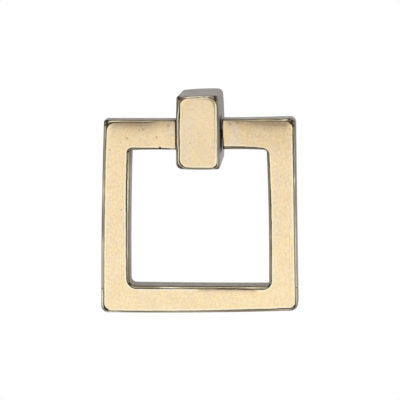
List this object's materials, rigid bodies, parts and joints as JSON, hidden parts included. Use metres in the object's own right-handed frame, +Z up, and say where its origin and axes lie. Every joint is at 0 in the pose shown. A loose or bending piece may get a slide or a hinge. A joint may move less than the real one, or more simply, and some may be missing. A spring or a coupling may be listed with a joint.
{
  "type": "drop pull",
  "caption": "Square drop pull for a drawer or cabinet door: a screwed-on cast post carries a swinging square ring on a straight pin.",
  "frame": {"origin": "mouth of the fixing hole, in the middle of the post's back face, which lies on the drawer face", "axes": "+Y along the fixing screw, from the room into the drawer; +Z up, as the pull hangs in use; +X to the right as seen from the room"},
  "size_m": [0.0602, 0.0222, 0.067],
  "materials": {
    "cast_brass": "pale gold, belt-polished on the flat fronts, with a grey-brown patina on the sides, edges and pits",
    "pin_steel": "plain drawn steel, dulled"
  },
  "bodies": {
    "mounting_post": {"post": "cast_brass", "pivot_pin": "pin_steel"},
    "drop_ring": {"ring": "cast_brass"}
  },
  "joints": [
    {"name": "ring_swing", "type": "hinge", "parent": "mounting_post", "child": "drop_ring", "pos_m": [0, -0.0142, -0.0012], "axis": [-1, 0, 0], "range_deg": [-11.5, 191.5]}
  ]
}
